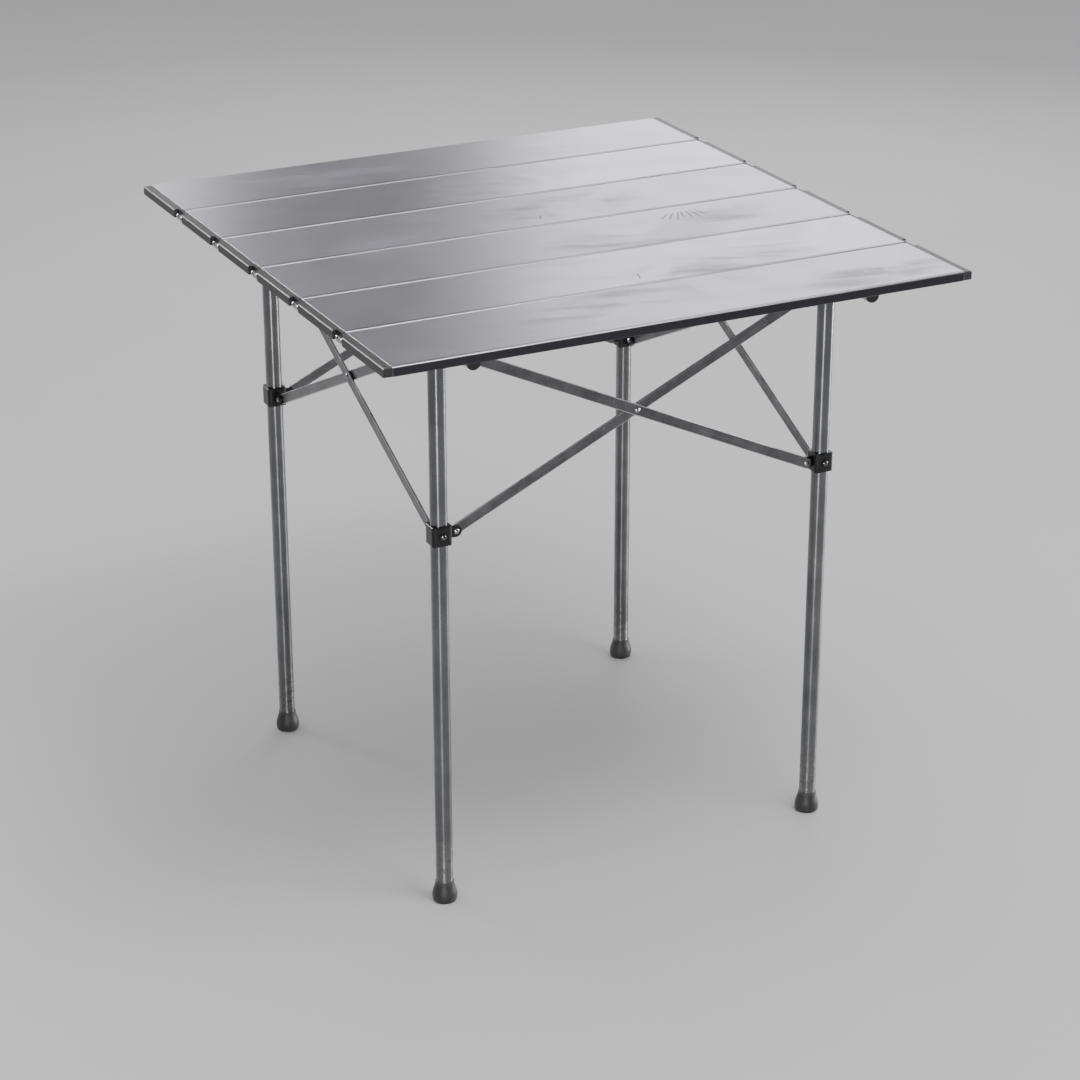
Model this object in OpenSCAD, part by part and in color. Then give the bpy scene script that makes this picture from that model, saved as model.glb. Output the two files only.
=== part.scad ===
// Roll-top folding side table.
// Six aluminium slats, linked at their ends, lie on two rails.  The rails lie in the brackets of four legs,
// and crossed bars on all four sides join the legs so that the frame closes like an umbrella.
// Origin: on the floor under the middle of the top.  +X runs along the slats, +Y to the back, +Z up.

/* [Table] */
// Length of each slat's aluminium, between its end caps
slat_l = 665; // [640:5:700]
// Size of the top across its slats
top_d = 702; // [690:6:720]
// Height of the working surface above the floor
table_h = 681; // [670:1:720]
// Distance between the axes of neighbouring legs
leg_span = 468; // [440:2:480]

/* [Slats] */
// Depth of a slat, from its underside to the working surface
slat_h = 10.8; // [10.5:0.1:12]
// Wall thickness of a slat
slat_skin = 1.4; // [1:0.1:1.6]
// Gap between neighbouring slats when the top lies flat
slat_gap = 1; // [0.8:0.1:1.2]
// Radius of a slat's long edges
slat_edge_r = 2; // [1.8:0.1:2.2]
// Width of the inward lip under each long edge
slat_lip = 7; // [5:0.5:9]
// Distance from a slat's front edge to the middle of its groove
groove_inset = 4; // [3:0.5:8]
// Width of the groove
groove_w = 0.7; // [0.4:0.1:1.2]
// Depth of the groove
groove_depth = 0.4; // [0.2:0.1:0.6]

/* [End caps and hinge links] */
// Width of an end cap beyond the slat's aluminium
cap_w = 10; // [9.5:0.5:12]
// Length of the notch that a junction takes from each cap
notch_l = 12; // [11.5:0.5:14]
// Depth of that notch, measured along the slat
notch_depth = 5.5; // [5.5:0.1:6]
// Step from a slat's outline in to its end caps
cap_inset = 0.35; // [0.2:0.05:0.5]
// Distance between the two pins of a link
pin_pitch = 12.7; // [12.6:0.1:13]
// Height of the pins above the slats' underside
pin_rise = 3.5; // [3.4:0.1:3.6]
// Diameter of a hinge pin
pin_d = 3; // [2.6:0.1:3.2]
// Thickness of a link plate
link_t = 3; // [2.6:0.1:3]

/* [Legs] */
// Outside diameter of a leg tube
leg_d = 19; // [18:0.2:19]
// Wall thickness of a leg tube
leg_wall = 1.3; // [1:0.1:2]
// Height of a foot
foot_h = 24; // [20:1:30]
// Largest diameter of a foot
foot_d = 28.2; // [27.6:0.2:30]

/* [Brackets and collars] */
// Width of the square block around a leg
block_w = 23; // [22.6:0.1:23.2]
// Height of that block
block_h = 22.4; // [20:0.2:24]
// Distance from a leg's axis to a bar's pivot
lug_reach = 19; // [19:0.1:20]
// Radius of a lug's round end
lug_r = 6.2; // [6:0.1:6.4]
// Height of the lower pivots above the floor
pivot_low = 441.5; // [420:0.5:460]
// Distance from the working surface down to the upper pivots
pivot_drop = 39.5; // [39.5:0.5:44]

/* [Bars and rivets] */
// Width of a cross bar
bar_w = 12; // [10:0.5:12]
// Thickness of a cross bar
bar_t = 3; // [2.5:0.1:3]
// Diameter of a rivet's shank
rivet_d = 4; // [3:0.1:4.5]
// Diameter of a rivet's head
rivet_head_d = 6.2; // [5.5:0.1:7]

/* [Rails] */
// Diameter of a rail
rail_d = 16; // [14:0.2:16]
// Wall thickness of a rail
rail_wall = 1.3; // [1:0.1:2]
// Length of a rail with its two end plugs
rail_l = 654; // [600:2:660]

/* [Hidden] */
$fn = 48;
slat_count = 6;

// slats, caps and links
pitch = top_d / slat_count;
slat_w = pitch - slat_gap;
slat_z = table_h - slat_h;
cap_x = slat_l / 2;
cap_outer_x = cap_x + cap_w;
notch_x = cap_outer_x - notch_depth;
cap_top_r = 1.8;
cap_low_r = 0.8;
plug_l = 14;
plug_inner_y = 14;
fit_gap = 0.1;
rib_y = 11.7;
rib_t = 1.2;
rib_h = 5;
pin_r = pin_d / 2;
pin_gap = 0.06;
pin_tip_x = notch_x - 12;
pin_head_r = 3.1;
pin_head_h = 1.4;
link_r = 3.3;
link_x = notch_x + 0.35;

// locating tabs under the first and last slat
tab_t = 4;
tab_w = 18;
tab_drop = 12;
tab_base_w = 20.4;
tab_base_l = 9;

// legs and feet
leg_at = leg_span / 2;
leg_r = leg_d / 2;
leg_start = 4;
leg_top = table_h - 31;
press_gap = 0.05;
foot_bottom_r = 13.4;
foot_top_r = 10.4;
foot_wide_z = 7;
foot_edge_r = 1.8;

// blocks, lugs and bars
block_corner_r = 5;
block_edge_r = 1.4;
slide_gap = 0.2;
pivot_high = table_h - pivot_drop;
pivot_x = leg_at - lug_reach;
bar_run = 2 * pivot_x;
bar_rise = pivot_high - pivot_low;
bar_l = norm([bar_run, bar_rise]);
bar_angle = atan2(bar_rise, bar_run);
bar_edge_r = 1;
layer_gap = 0.4;
layer_mid = (layer_gap + bar_t) / 2;
layer_far = layer_gap / 2 + bar_t;
rivet_r = rivet_d / 2;
rivet_hole_r = rivet_r + 0.06;
rivet_head_h = 1.5;
rivet_head_gap = 0.25;

// snap buttons in the collars
button_head_r = 2.8;
button_head_h = 1.3;
button_dome_h = 1;
button_shank_r = 1.8;
button_gap = 0.2;
button_travel = 1.05;
button_start = block_w / 2 + 0.15;
button_pocket_start = button_start - button_travel;
button_shank_start = button_pocket_start - 0.05;
boss_r = 4.1;
boss_end = button_start + button_travel;

// rails and their cradles
rail_r = rail_d / 2;
rail_z = slat_z - 0.4 - rail_r;
plug_head_t = 2;
plug_shank_l = 14;
rail_slide_gap = 0.15;
cradle_wall = 2.45;
cradle_l = 22;
cradle_mouth = 4.5;
cradle_foot_w = 16;
cradle_foot_h = 7;

// corner numbers: 0 front left, 1 front right, 2 back right, 3 back left
// side numbers: 0 front, 1 right, 2 back, 3 left; a side's left-hand leg, seen from outside, has its number

CORNERS = ["front_left", "front_right", "back_right", "back_left"];
SIDES = ["front", "right", "back", "left"];

// ---------- shared shapes ----------

// Rectangle w by h with round corners, standing on the X axis and centred across it
module round_rect(w, h, r) {
  translate([-w / 2 + r, 0]) square([w - 2 * r, h]);
  translate([-w / 2, r]) square([w, h - 2 * r]);
  for (x = [-w / 2 + r, w / 2 - r], y = [r, h - r]) translate([x, y]) circle(r);
}

// Low dome of radius r and height h, standing on the XY plane
module dome(r, h) {
  ball_r = (r * r + h * h) / (2 * h);
  rotate_extrude() intersection() {
    translate([0, h - ball_r]) circle(ball_r, $fn = 96);
    square([r, h]);
  }
}

// Square block w wide and h high, with round upright corners and rounded rims, centred on the origin
module round_block(w, h, corner_r, edge_r) {
  intersection() {
    linear_extrude(height = h, center = true) translate([0, -w / 2]) round_rect(w, w, corner_r);
    rotate([90, 0, 0]) linear_extrude(height = w + 2, center = true)
      translate([0, -h / 2]) round_rect(w, h, edge_r);
    rotate([90, 0, 90]) linear_extrude(height = w + 2, center = true)
      translate([0, -h / 2]) round_rect(w, h, edge_r);
  }
}

// Puts the front left corner's parts at a corner, turned with it
module at_corner(corner) {
  rotate([0, 0, 90 * corner]) translate([-leg_at, -leg_at, 0]) children();
}

// Turns the front side's parts to a side
module at_side(side) {
  rotate([0, 0, 90 * side]) translate([0, -leg_at, 0]) children();
}

function slat_y(i) = -top_d / 2 + (i - 0.5) * pitch;
function junction_y(i) = -top_d / 2 + i * pitch;

// ---------- top ----------

// A slat's cross-section: open-bottomed channel with lips, two ribs and a fine groove behind its front edge
module slat_section() {
  difference() {
    round_rect(slat_w, slat_h, slat_edge_r);
    translate([-slat_w / 2 + slat_skin, slat_skin]) square([slat_w - 2 * slat_skin, slat_h - 2 * slat_skin]);
    translate([-slat_w / 2 + slat_lip, -1]) square([slat_w - 2 * slat_lip, slat_skin + 2]);
    translate([-slat_w / 2 + groove_inset - groove_w / 2, slat_h - groove_depth]) square([groove_w, 1]);
  }
  for (side = [-1, 1])
    translate([side * rib_y - rib_t / 2, slat_h - slat_skin - rib_h]) square([rib_t, rib_h + slat_skin / 2]);
}

module slat(i) {
  color([0.78, 0.78, 0.81])
    translate([0, slat_y(i), slat_z]) rotate([90, 0, 90])
      linear_extrude(height = slat_l, center = true) slat_section();
}

// The part of an end cap that shows, for the +X end of a slat, before notches
module cap_body() {
  cap_h = slat_h - 2 * cap_inset;
  translate([0, 0, cap_inset]) intersection() {
    translate([cap_x, 0, 0]) rotate([90, 0, 90])
      linear_extrude(height = cap_w) round_rect(slat_w - 2 * cap_inset, cap_h, slat_edge_r - cap_inset);
    rotate([90, 0, 0]) linear_extrude(height = slat_w + 2, center = true) {
      translate([cap_x, 0]) square([cap_w - cap_top_r, cap_h]);
      translate([cap_x, cap_low_r]) square([cap_w, cap_h - cap_low_r - cap_top_r]);
      translate([cap_outer_x - cap_top_r, cap_h - cap_top_r]) circle(cap_top_r);
      translate([cap_outer_x - cap_low_r, cap_low_r]) circle(cap_low_r);
    }
  }
}

// The two blocks of a cap that fill the slat's channel beside its ribs
module cap_plug() {
  plug_w = slat_w / 2 - slat_skin - fit_gap - plug_inner_y;
  for (side = [-1, 1])
    translate([cap_x - plug_l, side * (plug_inner_y + plug_w / 2) - plug_w / 2, slat_skin + fit_gap])
      cube([plug_l + 1, plug_w, slat_h - 2 * slat_skin - 2 * fit_gap]);
}

// Notch and pin hole that a junction takes from a cap; side is -1 for its front end and 1 for its back end
module junction_cut(side) {
  edge_y = side * slat_w / 2;
  translate([notch_x, min(edge_y - side * notch_l, edge_y + side * 2), -1])
    cube([notch_depth + 1, notch_l + 2, slat_h + 2]);
  translate([pin_tip_x - 0.5, side * (pitch - pin_pitch) / 2, pin_rise])
    rotate([0, 90, 0]) cylinder(r = pin_r + pin_gap, h = notch_x - pin_tip_x + 1);
}

module end_cap(i) {
  difference() {
    union() {
      cap_body();
      cap_plug();
    }
    if (i > 1) junction_cut(-1);
    if (i < slat_count) junction_cut(1);
  }
}

module end_caps(i) {
  color([0.2, 0.2, 0.21])
    translate([0, slat_y(i), slat_z]) {
      end_cap(i);
      mirror([1, 0, 0]) end_cap(i);
    }
}

// Link plate for the +X end, centred on its junction
module link_plate() {
  translate([link_x, 0, pin_rise]) rotate([90, 0, 90]) linear_extrude(height = link_t) difference() {
    union() {
      square([pin_pitch, 2 * link_r], center = true);
      for (side = [-1, 1]) translate([side * pin_pitch / 2, 0]) circle(link_r);
    }
    for (side = [-1, 1]) translate([side * pin_pitch / 2, 0]) circle(pin_r + press_gap / 2);
  }
}

module hinge_pin() {
  translate([pin_tip_x, 0, pin_rise]) rotate([0, 90, 0]) {
    cylinder(r = pin_r, h = link_x + link_t - pin_tip_x);
    translate([0, 0, link_x + link_t - pin_tip_x]) dome(pin_head_r, pin_head_h);
  }
}

module hinge_links(i) {
  color([0.3, 0.3, 0.31])
    translate([0, junction_y(i), slat_z]) for (turn = [0, 1]) mirror([turn, 0, 0]) {
      link_plate();
      for (side = [-1, 1]) translate([0, side * pin_pitch / 2, 0]) hinge_pin();
    }
}

// Tab that stands beside the +X rail, on a base that fits between a slat's ribs
module locating_tab() {
  inner_x = leg_at + rail_r + 0.5;
  base_z = slat_skin + 0.2;
  base_top = slat_h - slat_skin - fit_gap;
  translate([inner_x, -tab_base_w / 2, base_z]) cube([tab_base_l, tab_base_w, base_top - base_z]);
  rotate([90, 0, 0]) linear_extrude(height = tab_w, center = true) {
    translate([inner_x, -tab_drop + tab_t / 2]) square([tab_t, tab_drop + base_z]);
    translate([inner_x + tab_t / 2, -tab_drop + tab_t / 2]) circle(tab_t / 2);
  }
}

module locating_tabs(i) {
  color([0.12, 0.12, 0.12])
    translate([0, slat_y(i), slat_z]) {
      locating_tab();
      mirror([1, 0, 0]) locating_tab();
    }
}

// ---------- rails ----------

module rail(side) {
  tube_l = rail_l - 2 * plug_head_t;
  color([0.7, 0.7, 0.72])
    translate([side * leg_at, 0, rail_z]) rotate([90, 0, 0]) difference() {
      cylinder(r = rail_r, h = tube_l, center = true);
      cylinder(r = rail_r - rail_wall, h = tube_l + 2, center = true);
    }
}

module rail_plug() {
  shank_r = rail_r - rail_wall - press_gap;
  rotate_extrude() {
    square([rail_r, plug_head_t - 1]);
    square([rail_r - 1, plug_head_t]);
    translate([rail_r - 1, plug_head_t - 1]) circle(1);
    translate([0, -plug_shank_l]) square([shank_r, plug_shank_l + 0.5]);
  }
}

module rail_plugs(side) {
  plug_y = rail_l / 2 - plug_head_t;
  color([0.08, 0.08, 0.08])
    translate([side * leg_at, 0, rail_z]) {
      translate([0, -plug_y, 0]) rotate([90, 0, 0]) rail_plug();
      translate([0, plug_y, 0]) rotate([-90, 0, 0]) rail_plug();
    }
}

// ---------- legs ----------

module leg(corner) {
  color([0.66, 0.67, 0.7])
    at_corner(corner) translate([0, 0, leg_start]) difference() {
      cylinder(r = leg_r, h = leg_top - leg_start);
      translate([0, 0, -1]) cylinder(r = leg_r - leg_wall, h = leg_top - leg_start + 2);
    }
}

// Half outline of a foot: a rounded rim, a bulge and a taper to its top
function foot_outline() = concat(
  [[0, 0]],
  [for (t = [-90:18:0]) [foot_bottom_r - foot_edge_r + foot_edge_r * cos(t), foot_edge_r * (1 + sin(t))]],
  [for (t = [15:15:90]) [
    foot_bottom_r + (foot_d / 2 - foot_bottom_r) * sin(t),
    foot_edge_r + (foot_wide_z - foot_edge_r) * (1 - cos(t))
  ]],
  [for (t = [10:10:90]) [
    foot_top_r + (foot_d / 2 - foot_top_r) * (1 + cos(2 * t)) / 2,
    foot_wide_z + (foot_h - foot_wide_z) * t / 90
  ]],
  [[0, foot_h]]
);

module foot(corner) {
  color([0.17, 0.16, 0.16])
    at_corner(corner) difference() {
      rotate_extrude() polygon(foot_outline());
      translate([0, 0, leg_start]) cylinder(r = leg_r + press_gap, h = foot_h);
    }
}

// ---------- brackets, collars and buttons ----------

// Lug that reaches +X from a leg's axis, on the outer (-1) or inner (1) side of the leg's plane
module lug(layer) {
  translate([0, layer * layer_mid, 0]) rotate([90, 0, 0])
    linear_extrude(height = bar_t, center = true) difference() {
      union() {
        translate([0, -lug_r]) square([lug_reach, 2 * lug_r]);
        translate([lug_reach, 0]) circle(lug_r);
      }
      translate([lug_reach, 0]) circle(rivet_hole_r);
    }
}

// Block with its two lugs, one along +X and one along +Y
module lugged_block(layer) {
  round_block(block_w, block_h, block_corner_r, block_edge_r);
  lug(layer);
  rotate([0, 0, 90]) lug(layer);
}

// Open-topped cradle that holds the rail, which runs along Y at every corner
module rail_cradle() {
  translate([0, 0, rail_z]) rotate([90, 0, 0]) linear_extrude(height = cradle_l, center = true) difference() {
    union() {
      circle(rail_r + rail_slide_gap + cradle_wall);
      translate([-cradle_foot_w / 2, -rail_r - cradle_wall - 0.35]) square([cradle_foot_w, cradle_foot_h]);
    }
    circle(rail_r + rail_slide_gap);
    translate([-20, cradle_mouth]) square([40, 20]);
  }
}

module bracket(corner) {
  turned_back = -90 * (corner % 2);
  color([0.09, 0.09, 0.09])
    at_corner(corner) difference() {
      union() {
        translate([0, 0, pivot_high]) lugged_block(1);
        rotate([0, 0, turned_back]) rail_cradle();
      }
      translate([0, 0, pivot_high - block_h]) cylinder(
        r = leg_r + press_gap,
        h = leg_top + press_gap - pivot_high + block_h
      );
    }
}

// Points -Z of a button's parts at the outer front or back face of a corner's collar
module at_button(corner) {
  at_corner(corner) translate([0, 0, pivot_low]) rotate([0, 0, -90 * (corner % 2)]) rotate([90, 0, 0]) children();
}

module collar(corner) {
  color([0.09, 0.09, 0.09]) difference() {
    union() {
      at_corner(corner) translate([0, 0, pivot_low]) lugged_block(-1);
      at_button(corner) cylinder(r = boss_r, h = boss_end);
    }
    at_corner(corner) translate([0, 0, pivot_low]) cylinder(r = leg_r + slide_gap, h = 2 * block_h, center = true);
    at_button(corner) translate([0, 0, button_pocket_start])
      cylinder(r = button_head_r + button_gap, h = block_w);
    at_button(corner) cylinder(r = button_shank_r + button_gap, h = block_w);
  }
}

module button(corner) {
  color([0.75, 0.75, 0.76]) at_button(corner) {
    translate([0, 0, button_shank_start]) cylinder(r = button_shank_r, h = button_start - button_shank_start + 0.5);
    translate([0, 0, button_start]) cylinder(r = button_head_r, h = button_head_h);
    translate([0, 0, button_start + button_head_h]) dome(button_head_r, button_dome_h);
  }
}

// ---------- bars and rivets ----------

// Bar of one side; layer is -1 for the outer one, which falls to the right, and 1 for the inner one
module bar(side, layer) {
  color([0.62, 0.63, 0.65])
    at_side(side)
      translate([0, layer * layer_mid, (pivot_low + pivot_high) / 2]) rotate([0, -layer * bar_angle, 0])
        difference() {
          intersection() {
            rotate([90, 0, 0]) linear_extrude(height = bar_t, center = true) {
              square([bar_l, bar_w], center = true);
              for (end = [-1, 1]) translate([end * bar_l / 2, 0]) circle(bar_w / 2);
            }
            rotate([90, 0, 90]) linear_extrude(height = bar_l + bar_w, center = true)
              translate([0, -bar_w / 2]) round_rect(bar_t, bar_w, bar_edge_r);
          }
          for (end = [-1, 0, 1]) translate([end * bar_l / 2, 0, 0]) rotate([90, 0, 0])
            cylinder(r = rivet_hole_r, h = 2 * bar_t, center = true);
        }
}

// Rivet along Y; its head beyond the bar of its own body touches it, the other head stands a little clear
module rivet(layer) {
  front = layer_far + (layer > 0 ? rivet_head_gap : 0);
  back = layer_far + (layer < 0 ? rivet_head_gap : 0);
  translate([0, -front, 0]) rotate([-90, 0, 0]) cylinder(r = rivet_r, h = front + back);
  translate([0, -front, 0]) rotate([90, 0, 0]) dome(rivet_head_d / 2, rivet_head_h);
  translate([0, back, 0]) rotate([-90, 0, 0]) dome(rivet_head_d / 2, rivet_head_h);
}

// A bar's two end rivets; an outer bar also has the rivet at the crossing
module rivets(side, layer) {
  color([0.55, 0.55, 0.57]) at_side(side) {
    translate([-pivot_x, 0, layer < 0 ? pivot_high : pivot_low]) rivet(layer);
    translate([pivot_x, 0, layer < 0 ? pivot_low : pivot_high]) rivet(layer);
    if (layer < 0) translate([0, 0, (pivot_low + pivot_high) / 2]) rivet(layer);
  }
}

// ---------- nodes ----------

for (i = [1:slat_count]) {
  slat(i);
  end_caps(i);
}
for (i = [1:slat_count - 1]) hinge_links(i);
locating_tabs(1);  // locating_tabs_front
locating_tabs(slat_count);  // locating_tabs_back
rail(-1);  // rail_left
rail(1);  // rail_right
rail_plugs(-1);  // rail_plugs_left
rail_plugs(1);  // rail_plugs_right
for (corner = [0:3]) {
  leg(corner);
  foot(corner);
  bracket(corner);
  collar(corner);
  button(corner);
}
for (side = [0:3]) {
  bar(side, -1);
  bar(side, 1);
  rivets(side, -1);
  rivets(side, 1);
}
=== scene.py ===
"""Looks of the roll-top folding side table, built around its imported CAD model."""

import math

import bpy
from mathutils import Matrix, Vector

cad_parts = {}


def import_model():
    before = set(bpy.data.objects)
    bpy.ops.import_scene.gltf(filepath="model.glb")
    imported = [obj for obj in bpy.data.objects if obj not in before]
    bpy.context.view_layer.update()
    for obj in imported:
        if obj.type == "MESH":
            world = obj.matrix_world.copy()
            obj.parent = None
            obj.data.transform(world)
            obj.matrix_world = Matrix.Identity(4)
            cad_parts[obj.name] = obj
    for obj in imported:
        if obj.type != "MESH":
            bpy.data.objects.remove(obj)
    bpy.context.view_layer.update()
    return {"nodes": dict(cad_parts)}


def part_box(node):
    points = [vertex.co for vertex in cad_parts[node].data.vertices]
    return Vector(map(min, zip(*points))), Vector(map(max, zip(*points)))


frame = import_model()
nodes = frame["nodes"]

# ---------- sizes that the materials need, read from the frame ----------

MM = 0.001
slat_low, slat_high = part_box("slat_1")
TOP_Z = slat_high.z
SLAT_END = slat_high.x
SLAT_FRONT = slat_low.y
link_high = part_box("hinge_links_1")[1]
CAP_GRAIN = 0.35 * MM
PIN_HEAD = 1.6 * MM
GROOVE_INSET = 4 * MM
BAR_W = 12 * MM
cap_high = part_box("end_caps_1")[1]
foot_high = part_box("foot_front_left")[1]
next_low, next_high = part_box("slat_2")
PITCH = (next_low.y + next_high.y - slat_low.y - slat_high.y) / 2


# ---------- node helpers ----------


class Finish:
    """A node material around one Principled shader, with short calls for what feeds it.

    Coordinates are the row frame's own, in metres, at rest: they stay on a body when it moves.
    """

    def __init__(self, name, metallic=0.0, **values):
        self.material = bpy.data.materials.new(name)
        self.material.use_nodes = True
        self.tree = self.material.node_tree
        self.shader = self.tree.nodes["Principled BSDF"]
        self.shader.inputs["Metallic"].default_value = metallic
        for socket, value in values.items():
            self.shader.inputs[socket.replace("_", " ")].default_value = value
        self.place = self.node("ShaderNodeTexCoord").outputs["Object"]
        self.height = None

    def node(self, kind, **settings):
        made = self.tree.nodes.new(kind)
        for key, value in settings.items():
            setattr(made, key, value)
        return made

    def plug(self, value, socket):
        if isinstance(value, bpy.types.NodeSocket):
            self.tree.links.new(value, socket)
        else:
            socket.default_value = value

    def math(self, operation, a, b=0.0, c=0.0, clamp=False):
        made = self.node("ShaderNodeMath", operation=operation, use_clamp=clamp)
        for value, socket in zip((a, b, c), made.inputs):
            self.plug(value, socket)
        return made.outputs[0]

    def axes(self, vector=None):
        made = self.node("ShaderNodeSeparateXYZ")
        self.plug(vector or self.place, made.inputs[0])
        return made.outputs

    def stretch(self, scale, turn=0.0, shift=(0, 0, 0)):
        """Coordinates turned about Z, then scaled: a small scale along an axis draws the pattern out."""
        turned = self.node("ShaderNodeMapping")
        self.plug(self.place, turned.inputs["Vector"])
        turned.inputs["Location"].default_value = shift
        turned.inputs["Rotation"].default_value = (0, 0, turn)
        scaled = self.node("ShaderNodeMapping")
        self.plug(turned.outputs[0], scaled.inputs["Vector"])
        scaled.inputs["Scale"].default_value = scale
        return scaled.outputs[0]

    def noise(self, scale, detail=4.0, roughness=0.5, distortion=0.0, vector=None):
        made = self.node("ShaderNodeTexNoise")
        self.plug(vector or self.place, made.inputs["Vector"])
        made.inputs["Scale"].default_value = scale
        made.inputs["Detail"].default_value = detail
        made.inputs["Roughness"].default_value = roughness
        made.inputs["Distortion"].default_value = distortion
        return made.outputs[0]

    def random(self, number):
        """A random share of 1 for each whole number."""
        made = self.node("ShaderNodeTexWhiteNoise", noise_dimensions="1D")
        self.plug(number, made.inputs["W"])
        return made.outputs["Value"]

    def along(self, direction):
        """Distance along a direction, in metres."""
        made = self.node("ShaderNodeVectorMath", operation="DOT_PRODUCT")
        self.plug(self.place, made.inputs[0])
        made.inputs[1].default_value = direction
        return made.outputs["Value"]

    def step(self, value, low, high, to_low=0.0, to_high=1.0):
        """Smooth rise from to_low to to_high as value goes from low to high."""
        made = self.node("ShaderNodeMapRange", interpolation_type="SMOOTHSTEP")
        for given, socket in zip((value, low, high, to_low, to_high), made.inputs):
            self.plug(given, socket)
        return made.outputs[0]

    def mix(self, share, a, b):
        made = self.node("ShaderNodeMix", data_type="RGBA")
        for value, socket in zip((share, a, b), (made.inputs[0], made.inputs[6], made.inputs[7])):
            if isinstance(value, tuple) and len(value) == 3:
                value = (*value, 1.0)
            self.plug(value, socket)
        return made.outputs[2]

    def colour(self, value):
        if isinstance(value, tuple):
            value = (*value, 1.0)
        self.plug(value, self.shader.inputs["Base Color"])

    def rough(self, value):
        self.plug(value, self.shader.inputs["Roughness"])

    def streaks_along(self, axis, anisotropy):
        """Draws highlights out along an axis of the object, as fine turning marks across it do."""
        made = self.node("ShaderNodeVectorTransform", vector_type="VECTOR")
        made.convert_from = "OBJECT"
        made.convert_to = "WORLD"
        made.inputs[0].default_value = axis
        self.tree.links.new(made.outputs[0], self.shader.inputs["Tangent"])
        self.shader.inputs["Anisotropic"].default_value = anisotropy

    def bump(self, height, distance, strength=1.0):
        """Adds relief of that height in metres; several calls stack up."""
        made = self.node("ShaderNodeBump")
        made.inputs["Strength"].default_value = strength
        made.inputs["Distance"].default_value = distance
        self.plug(height, made.inputs["Height"])
        if self.height is not None:
            self.tree.links.new(self.height, made.inputs["Normal"])
        self.height = made.outputs[0]
        self.tree.links.new(self.height, self.shader.inputs["Normal"])

    def stroke(self, centre, angle, length, width):
        """1 on a short straight mark in the top's plane, fading at its ends."""
        x, y, _ = self.axes()
        dx = self.math("SUBTRACT", x, centre[0])
        dy = self.math("SUBTRACT", y, centre[1])
        cosine, sine = math.cos(angle), math.sin(angle)
        along = self.math("ADD", self.math("MULTIPLY", dx, cosine), self.math("MULTIPLY", dy, sine))
        across = self.math("SUBTRACT", self.math("MULTIPLY", dy, cosine), self.math("MULTIPLY", dx, sine))
        ends = self.step(self.math("ABSOLUTE", along), length * 0.3, length * 0.5, 1.0, 0.0)
        sides = self.step(self.math("ABSOLUTE", across), width * 0.2, width * 0.6, 1.0, 0.0)
        return self.math("MULTIPLY", ends, sides)

    def patch(self, centre, size):
        """1 in the middle of a soft round-edged patch in the top's plane, falling to 0 at its rim."""
        x, y, _ = self.axes()
        dx = self.math("DIVIDE", self.math("SUBTRACT", x, centre[0]), size[0])
        dy = self.math("DIVIDE", self.math("SUBTRACT", y, centre[1]), size[1])
        reach = self.math("ADD", self.math("POWER", dx, 2.0), self.math("POWER", dy, 2.0))
        return self.step(reach, 0.0, 1.0, 1.0, 0.0)


def total(finish, values, operation="MAXIMUM"):
    result = values[0]
    for value in values[1:]:
        result = finish.math(operation, result, value)
    return result


# ---------- finishes ----------

# Middle and half size of each dull patch on the top
DULL_PATCHES = [
    ((0.09, -0.08), (0.13, 0.055)),
    ((0.20, -0.055), (0.09, 0.035)),
    ((0.12, -0.20), (0.13, 0.045)),
    ((0.02, -0.262), (0.13, 0.04)),
    ((-0.09, -0.275), (0.10, 0.035)),
    ((0.25, -0.315), (0.11, 0.035)),
    ((0.05, 0.055), (0.12, 0.05)),
    ((0.02, 0.17), (0.12, 0.05)),
    ((-0.13, 0.29), (0.11, 0.05)),
    ((-0.22, 0.02), (0.10, 0.05)),
]
# Middle, direction, length and width of each scratch that stands alone
LONE_SCRATCHES = [
    ((0.0155, -0.2076), math.radians(72), 20 * MM, 2.0 * MM),
    ((0.0165, 0.030), math.radians(66), 17 * MM, 1.6 * MM),
    ((-0.155, -0.125), math.radians(20), 24 * MM, 1.4 * MM),
]


def scuff_fan():
    """Short scuffs side by side, spread like a fan, as a sliding foot of something heavy leaves them."""
    for i in range(7):
        middle = (0.143 + 0.0075 * i, -0.031 - 0.002 * (i % 3))
        yield middle, math.radians(44 + 9 * i), (27 + 5 * (i % 3)) * MM, 2.1 * MM


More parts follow.
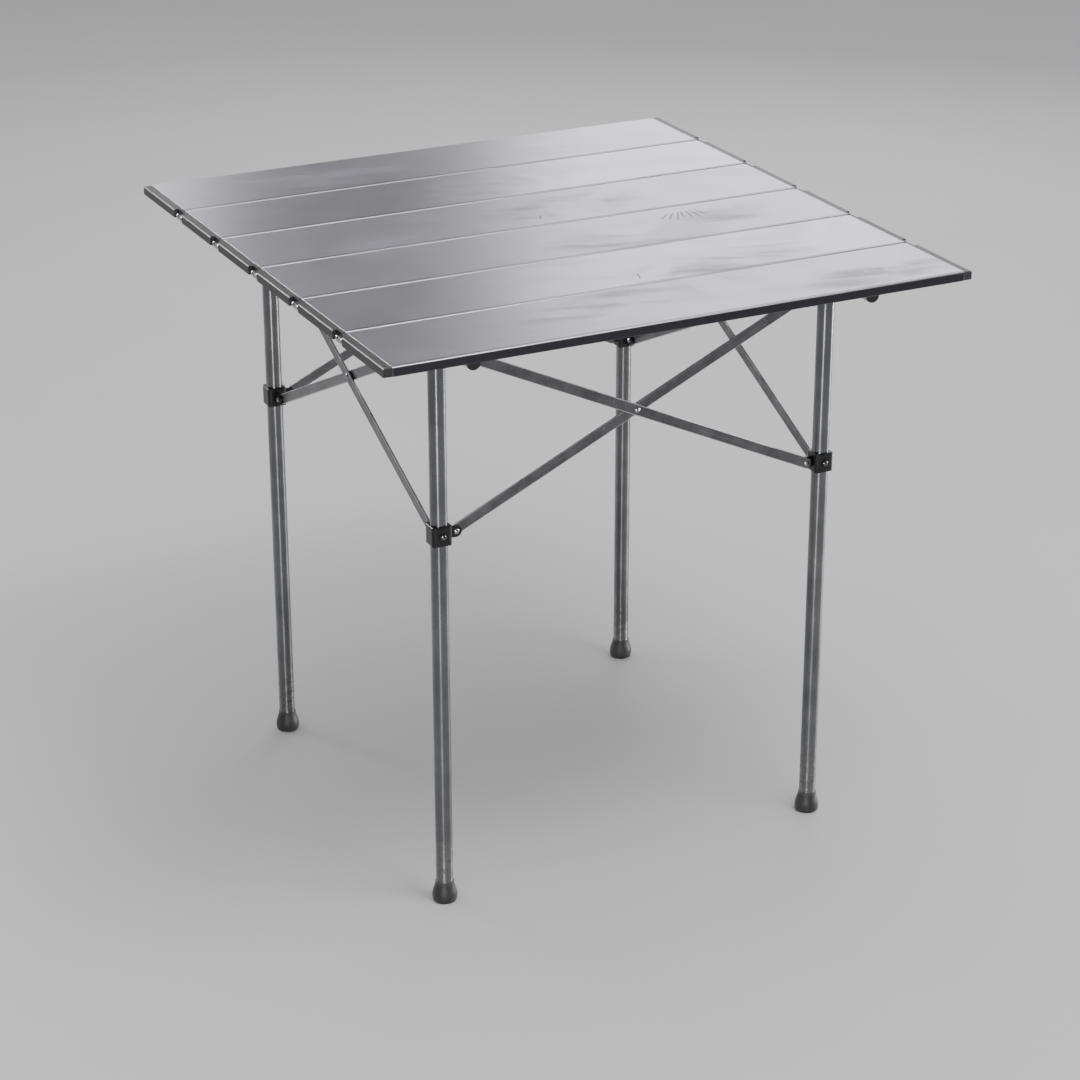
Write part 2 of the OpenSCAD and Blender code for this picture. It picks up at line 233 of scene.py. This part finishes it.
def slat_finish():
    """Satin anodised aluminium: extrusion lines, dull wiped patches, a fan of scuffs and stray scratches."""
    f = Finish("satin_anodised_slats", metallic=1.0)
    f.streaks_along((0, 1, 0), 0.3)
    x, y, z = f.axes()

    # each slat is anodised a little differently
    number = f.math("FLOOR", f.math("DIVIDE", f.math("SUBTRACT", y, SLAT_FRONT - 0.5 * MM), PITCH))
    tone = f.random(number)

    # dull patches where things stood, broken up and drawn out by wiping
    clouds = f.noise(9.0, detail=6.0, roughness=0.62, distortion=1.2)
    wiping = f.stretch((5.0, 34.0, 34.0), turn=math.radians(14))
    wipes = f.noise(1.0, detail=5.0, roughness=0.62, vector=wiping)
    wiped = f.step(wipes, 0.46, 0.66)
    worn = total(f, [f.patch(centre, size) for centre, size in DULL_PATCHES])
    drawn_out = f.math("MULTIPLY_ADD", wiped, 0.6, 0.4)
    broken = f.math("MULTIPLY", f.step(clouds, 0.36, 0.60), drawn_out)
    smudge = f.math("MULTIPLY", broken, f.math("ADD", f.math("MULTIPLY", worn, 0.7), 0.3))
    smudge = f.math("ADD", smudge, f.math("MULTIPLY", f.math("MULTIPLY", wiped, worn), 0.35), clamp=True)

    # extrusion lines run the whole length of a slat
    lines = f.noise(1.0, detail=3.0, roughness=0.7, vector=f.stretch((2.0, 1400.0, 1400.0)))
    grain = f.noise(5200.0, detail=2.0)

    fan = [f.stroke(*mark) for mark in scuff_fan()]
    lone = [f.stroke(*mark) for mark in LONE_SCRATCHES]
    scratch = total(f, fan + lone)
    hairs = f.noise(1.0, detail=1.0, vector=f.stretch((11.0, 900.0, 900.0), turn=math.radians(24)))
    hairs = f.math("MULTIPLY", f.step(hairs, 0.72, 0.76), f.step(f.noise(9.0, detail=1.0), 0.48, 0.62))
    marks = f.math("MAXIMUM", scratch, f.math("MULTIPLY", hairs, 0.5))

    # the sawn ends are bare and bright; painted shade darkens the front grooves, the gaps at the slats' front
    # edges and the skirts below the rounded edges, which come out darker than the face
    end = f.step(f.math("ABSOLUTE", x), SLAT_END - 0.25 * MM, SLAT_END - 0.05 * MM)
    from_front = f.math("MODULO", f.math("SUBTRACT", y, SLAT_FRONT), PITCH)
    from_groove = f.math("ABSOLUTE", f.math("SUBTRACT", from_front, GROOVE_INSET))
    groove = f.step(from_groove, 0.3 * MM, 0.65 * MM, 1.0, 0.0)
    front_edge = f.step(from_front, 0.2 * MM, 0.8 * MM, 0.7, 0.0)
    seam_shade = f.math("MAXIMUM", groove, front_edge)
    skirt_shade = f.step(z, TOP_Z - 2.2 * MM, TOP_Z - 0.5 * MM, 1.0, 0.0)

    base = f.mix(f.step(clouds, 0.3, 0.7), (0.560, 0.546, 0.616), (0.615, 0.599, 0.676))
    base = f.mix(f.math("MULTIPLY", tone, 0.25), base, (0.510, 0.500, 0.565))
    base = f.mix(f.math("MULTIPLY", smudge, 0.75), base, (0.37, 0.36, 0.42))
    base = f.mix(f.math("MULTIPLY", scratch, 0.8), base, (0.13, 0.13, 0.14))
    # painted shade: groove and gap lines first, then the skirts below the rounded edges
    base = f.mix(f.math("MULTIPLY", seam_shade, 0.8), base, (0.07, 0.07, 0.08))
    base = f.mix(f.math("MULTIPLY", skirt_shade, 0.93), base, (0.035, 0.035, 0.04))
    f.colour(f.mix(end, base, (0.86, 0.86, 0.88)))

    rough = f.math("ADD", 0.335, f.math("MULTIPLY", smudge, 0.14))
    rough = f.math("ADD", rough, f.math("MULTIPLY", f.math("SUBTRACT", tone, 0.5), 0.04))
    rough = f.math("ADD", rough, f.math("MULTIPLY", f.math("SUBTRACT", lines, 0.5), 0.06))
    rough = f.math("ADD", rough, f.math("MULTIPLY", marks, 0.12))
    f.rough(f.math("SUBTRACT", rough, f.math("MULTIPLY", end, 0.12)))
    f.bump(lines, 0.012 * MM, 0.6)
    f.bump(grain, 0.006 * MM, 0.5)
    f.bump(f.math("SUBTRACT", 1.0, marks), 0.05 * MM, 0.9)
    return f.material


def plastic_finish(name, dark, light, roughness, grain_size, grain_height, dust=0.0, **values):
    """Moulded plastic: fine spark-eroded grain, slightly uneven gloss and a little dust in patches."""
    f = Finish(name, **values)
    patches = f.noise(45.0, detail=4.0, roughness=0.6)
    grain = f.noise(1.0 / grain_size, detail=2.0, roughness=0.6)
    base = f.mix(f.step(patches, 0.3, 0.7), dark, light)
    if dust:
        specks = f.noise(900.0, detail=3.0, roughness=0.7)
        dusty = f.math("MULTIPLY", f.step(specks, 0.56, 0.7), f.step(patches, 0.4, 0.7))
        base = f.mix(f.math("MULTIPLY", dusty, dust), base, (0.20, 0.19, 0.175))
    f.colour(base)
    f.rough(f.math("ADD", roughness, f.math("MULTIPLY", f.math("SUBTRACT", patches, 0.5), 0.16)))
    f.bump(grain, grain_height, 0.7)
    return f.material


def cap_finish():
    """Dark moulded caps whose outer top edge is painted pale, unevenly along its length."""
    f = Finish("end_cap_plastic", Specular_IOR_Level=0.22)
    x, y, z = f.axes()
    patches = f.noise(45.0, detail=4.0, roughness=0.6)
    base = f.mix(f.step(patches, 0.3, 0.7), (0.044, 0.044, 0.046), (0.062, 0.062, 0.065))
    out = f.math("SUBTRACT", cap_high.x, f.math("ABSOLUTE", x))
    down = f.math("SUBTRACT", cap_high.z, z)
    corner = f.math("ADD", out, down)
    at_edge = f.step(corner, 0.8 * MM, 1.5 * MM, 1.0, 0.0)
    # a pale band painted along the outer top edge, uneven along its length
    pale_edges = f.math("MULTIPLY", at_edge, f.step(patches, 0.25, 0.6, 0.45, 1.0))
    specks = f.noise(900.0, detail=3.0, roughness=0.7)
    dusty = f.math("MULTIPLY", f.step(specks, 0.56, 0.7), f.step(patches, 0.4, 0.7))
    base = f.mix(f.math("MULTIPLY", dusty, 0.25), base, (0.20, 0.19, 0.175))
    f.colour(f.mix(pale_edges, base, (0.30, 0.30, 0.31)))
    f.rough(f.math("ADD", 0.40, f.math("MULTIPLY", f.math("SUBTRACT", patches, 0.5), 0.16)))
    f.bump(f.noise(1.0 / CAP_GRAIN, detail=2.0, roughness=0.6), 0.02 * MM, 0.7)
    return f.material


def link_finish():
    """Dark plates, with bright round pin heads proud of them."""
    f = Finish("hinge_links", metallic=1.0)
    x = f.axes()[0]
    head = f.step(f.math("ABSOLUTE", x), link_high.x - PIN_HEAD, link_high.x - PIN_HEAD + 0.15 * MM)
    wear = f.noise(420.0, detail=4.0, roughness=0.65)
    plate = f.mix(f.step(wear, 0.35, 0.7), (0.03, 0.03, 0.032), (0.08, 0.08, 0.083))
    bright = f.mix(f.step(wear, 0.35, 0.7), (0.34, 0.34, 0.35), (0.46, 0.46, 0.47))
    f.colour(f.mix(head, plate, bright))
    f.rough(f.math("ADD", f.step(head, 0.0, 1.0, 0.38, 0.2), f.math("MULTIPLY", wear, 0.12)))
    f.bump(f.noise(3000.0, detail=2.0), 0.01 * MM, 0.5)
    return f.material


def tube_finish(name, along, light, dark, roughness, grime=False):
    """Drawn aluminium tube: fine die lines along it, faint rubs across it."""
    f = Finish(name, metallic=1.0)
    f.streaks_along([float(i == along) for i in range(3)], 0.85)
    across_tube, along_tube = 1500.0, 1.2
    scale = [across_tube] * 3
    scale[along] = along_tube
    die = f.noise(1.0, detail=3.0, roughness=0.7, vector=f.stretch(tuple(scale)))
    clouds = f.noise(26.0, detail=5.0, roughness=0.6)
    scale = [260.0] * 3
    scale[along] = 14.0
    rubs = f.step(f.noise(1.0, detail=3.0, roughness=0.6, vector=f.stretch(tuple(scale))), 0.58, 0.72)
    base = f.mix(f.step(clouds, 0.3, 0.7), dark, light)
    base = f.mix(f.math("MULTIPLY", rubs, 0.35), base, tuple(0.72 * v for v in dark))
    if grime:
        z = f.axes()[2]
        low = f.step(z, foot_high.z, foot_high.z + 0.09, 1.0, 0.0)
        stain = f.math("MULTIPLY", low, f.step(f.noise(120.0, detail=5.0, roughness=0.7), 0.35, 0.75))
        base = f.mix(f.math("MULTIPLY", stain, 0.55), base, (0.30, 0.29, 0.24))
        clouds = f.math("ADD", clouds, f.math("MULTIPLY", stain, 0.9))
    f.colour(base)
    rough = f.math("ADD", roughness, f.math("MULTIPLY", f.math("SUBTRACT", clouds, 0.5), 0.14))
    rough = f.math("ADD", rough, f.math("MULTIPLY", rubs, 0.06))
    f.rough(f.math("ADD", rough, f.math("MULTIPLY", f.math("SUBTRACT", die, 0.5), 0.08)))
    f.bump(die, 0.012 * MM, 0.6)
    return f.material


def bar_finish(name, direction, middle):
    """Flat rolled aluminium: mill lines along the bar, dull patches and bright scuffs, with painted shade in
    its dark base colour and a painted highlight along both long edges.
    """
    f = Finish(name, metallic=1.0)
    dx, dy, dz = direction
    sideways = Vector((-dz * dx, -dz * dy, dx * dx + dy * dy)).normalized()
    drawn = f.node("ShaderNodeCombineXYZ")
    f.plug(f.math("MULTIPLY", f.along(direction), 6.0), drawn.inputs[0])
    f.plug(f.math("MULTIPLY", f.along(sideways), 900.0), drawn.inputs[1])
    lines = f.noise(1.0, detail=3.0, roughness=0.65, vector=drawn.outputs[0])
    clouds = f.noise(30.0, detail=5.0, roughness=0.6)
    fine = f.noise(2600.0, detail=3.0, roughness=0.7)
    scuffs = f.step(f.noise(300.0, detail=2.0, distortion=2.0), 0.66, 0.74)
    # painted shade: the dark base stands for dark surroundings reflected in the flat aluminium faces
    base = f.mix(f.step(clouds, 0.3, 0.7), (0.09, 0.09, 0.094), (0.15, 0.15, 0.156))
    base = f.mix(f.math("MULTIPLY", f.step(lines, 0.5, 0.75), 0.5), base, (0.24, 0.24, 0.25))
    base = f.mix(f.math("MULTIPLY", scuffs, 0.5), base, (0.5, 0.5, 0.52))
    # painted highlight: both long edges are painted pale
    across = f.math("SUBTRACT", f.along(sideways), sideways.dot(middle))
    pale_edges = f.step(f.math("ABSOLUTE", across), BAR_W / 2 - 1.1 * MM, BAR_W / 2 - 0.5 * MM)
    f.colour(f.mix(f.math("MULTIPLY", pale_edges, 0.85), base, (0.62, 0.62, 0.64)))
    rough = f.math("ADD", 0.30, f.math("MULTIPLY", f.math("SUBTRACT", clouds, 0.5), 0.2))
    f.rough(f.math("ADD", rough, f.math("MULTIPLY", f.math("SUBTRACT", lines, 0.5), 0.14)))
    f.bump(lines, 0.015 * MM, 0.6)
    f.bump(fine, 0.006 * MM, 0.5)
    return f.material


def bar_direction(name):
    """Unit vector along a bar: seen from outside, an outer bar falls to the right and an inner one rises."""
    low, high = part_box(name)
    size = high - low
    run = max(size.x, size.y)
    slope = math.atan2(size.z - BAR_W, run - BAR_W)
    _, side, layer = name.split("_")
    to_right = {"front": (1, 0), "right": (0, 1), "back": (-1, 0), "left": (0, -1)}[side]
    rise = -math.sin(slope) if layer == "outer" else math.sin(slope)
    return (to_right[0] * math.cos(slope), to_right[1] * math.cos(slope), rise)


def bar_middle(name):
    low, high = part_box(name)
    return (low + high) / 2


def rubber_finish():
    f = Finish("foot_rubber", Sheen_Weight=0.3, Sheen_Roughness=0.35)
    z = f.axes()[2]
    patches = f.noise(70.0, detail=5.0, roughness=0.65)
    pores = f.noise(1600.0, detail=3.0, roughness=0.7)
    base = f.mix(f.step(patches, 0.3, 0.7), (0.020, 0.019, 0.019), (0.036, 0.033, 0.031))
    dust = f.math("MULTIPLY", f.step(z, 1 * MM, 11 * MM, 1.0, 0.0), f.step(patches, 0.35, 0.7))
    base = f.mix(f.math("MULTIPLY", dust, 0.45), base, (0.13, 0.12, 0.105))
    rim = f.step(z, foot_high.z - 3.5 * MM, foot_high.z - 0.8 * MM)
    base = f.mix(f.math("MULTIPLY", rim, 0.55), base, (0.11, 0.105, 0.095))
    f.colour(base)
    f.rough(f.math("ADD", 0.55, f.math("MULTIPLY", f.math("SUBTRACT", patches, 0.5), 0.25)))
    f.bump(pores, 0.05 * MM, 0.5)
    return f.material


def small_metal_finish(name, light, roughness):
    f = Finish(name, metallic=1.0)
    wear = f.noise(500.0, detail=4.0, roughness=0.65)
    f.colour(f.mix(f.step(wear, 0.35, 0.75), light, tuple(0.7 * v for v in light)))
    f.rough(f.math("ADD", roughness, f.math("MULTIPLY", wear, 0.12)))
    f.bump(f.noise(4000.0, detail=2.0), 0.008 * MM, 0.5)
    return f.material


BLACK = ((0.010, 0.010, 0.011), (0.017, 0.017, 0.018))


def satin_black(name, roughness):
    return plastic_finish(name, *BLACK, roughness, 0.5 * MM, 0.02 * MM, dust=0.2, Specular_IOR_Level=0.32)


# painted shade: the legs' dark tones stand for dark surroundings reflected in the drawn aluminium; the rails
# keep the metal's own pale tone
leg_metal = tube_finish("drawn_legs", 2, (0.185, 0.187, 0.195), (0.135, 0.137, 0.143), 0.25, grime=True)
rail_metal = tube_finish("drawn_rails", 1, (0.60, 0.60, 0.61), (0.50, 0.50, 0.51), 0.28)
finishes = {
    "slat": slat_finish(),
    "end_caps": cap_finish(),
    "hinge_links": link_finish(),
    "locating_tabs": plastic_finish("tab_plastic", *BLACK, 0.5, 0.4 * MM, 0.03 * MM),
    "rail_plugs": plastic_finish("plug_plastic", *BLACK, 0.42, 0.4 * MM, 0.03 * MM),
    "rail": rail_metal,
    "leg": leg_metal,
    "foot": rubber_finish(),
    "bracket": satin_black("bracket_plastic", 0.32),
    "collar": satin_black("collar_plastic", 0.30),
    "button": small_metal_finish("button_steel", (0.14, 0.14, 0.143), 0.18),
    "rivets": small_metal_finish("rivet_steel", (0.36, 0.36, 0.37), 0.2),
}

for name, obj in nodes.items():
    if name.startswith("bar_"):
        finish = bar_finish("mill_" + name, bar_direction(name), bar_middle(name))
    else:
        finish = finishes[max((kind for kind in finishes if name.startswith(kind)), key=len)]
    obj.data.materials.clear()
    obj.data.materials.append(finish)

# ---------- studio ----------


def floor():
    """Pale, faintly mottled floor."""
    size = 40.0
    mesh = bpy.data.meshes.new("floor")
    corners = [(-size, -size, 0), (size, -size, 0), (size, size, 0), (-size, size, 0)]
    mesh.from_pydata(corners, [], [(0, 1, 2, 3)])
    obj = bpy.data.objects.new("floor", mesh)
    bpy.context.scene.collection.objects.link(obj)
    f = Finish("floor_paint")
    f.colour(f.mix(f.noise(3.0, detail=4.0), (0.60, 0.60, 0.605), (0.64, 0.64, 0.645)))
    f.rough(0.7)
    mesh.materials.append(f.material)


def soft_light(name, azimuth, elevation, distance, size, watts, lights_floor=True, reflects=True):
    """Rectangular softbox aimed at the table; azimuth 0 is the table's front and 90 its right.

    One that doesn't light the floor shows only as a reflection; one that doesn't reflect is only a soft fill.
    """
    a, e = math.radians(azimuth), math.radians(elevation)
    away = Vector((math.sin(a) * math.cos(e), -math.cos(a) * math.cos(e), math.sin(e)))
    data = bpy.data.lights.new(name, "AREA")
    data.shape = "RECTANGLE"
    data.size, data.size_y = size
    data.energy = watts
    obj = bpy.data.objects.new(name, data)
    obj.location = Vector((0, 0, TOP_Z * 0.7)) + away * distance
    obj.rotation_euler = away.to_track_quat("Z", "Y").to_euler()
    obj.visible_diffuse = lights_floor
    obj.visible_glossy = reflects
    bpy.context.scene.collection.objects.link(obj)


def world(strength, colour):
    made = bpy.data.worlds.new("studio")
    made.use_nodes = True
    background = made.node_tree.nodes["Background"]
    background.inputs["Color"].default_value = (*colour, 1.0)
    background.inputs["Strength"].default_value = strength
    bpy.context.scene.world = made


def camera(azimuth, elevation, roll, distance, aim, lens):
    a, e = math.radians(azimuth), math.radians(elevation)
    back = Vector((math.sin(a) * math.cos(e), -math.cos(a) * math.cos(e), math.sin(e)))
    side = Vector((0, 0, 1)).cross(back).normalized()
    turn = Matrix((side, back.cross(side), back)).transposed() @ Matrix.Rotation(math.radians(roll), 3, "Z")
    data = bpy.data.cameras.new("camera")
    data.lens = lens
    data.sensor_width = 36.0
    obj = bpy.data.objects.new("camera", data)
    obj.location = Vector(aim) + back * distance
    obj.rotation_euler = turn.to_euler()
    bpy.context.scene.collection.objects.link(obj)
    bpy.context.scene.camera = obj


# The strips draw the bright streaks along the tubes and leave the floor as it is.
floor()
world(0.20, (1.0, 0.98, 1.0))
soft_light("ceiling_fill", 0, 90, 5.5, (9.0, 9.0), 420, reflects=False)
soft_light("back_softbox", 141, 19, 3.3, (1.5, 1.0), 17.5)
soft_light("back_corner_light", 172, 17, 3.3, (0.5, 0.65), 4)
soft_light("overhead_softbox", 24, 62, 2.6, (1.2, 0.8), 34)
soft_light("right_strip", 80, 9, 2.4, (0.22, 1.6), 140, lights_floor=False)
soft_light("left_strip", -147, 30, 2.4, (0.4, 1.6), 100, lights_floor=False)
soft_light("front_strip", -31, 8, 2.6, (0.10, 1.4), 55, lights_floor=False)
camera(-26.358, 23.310, -0.10, 3.3891, (-0.0061, -0.0137, 0.3053), 96.97)
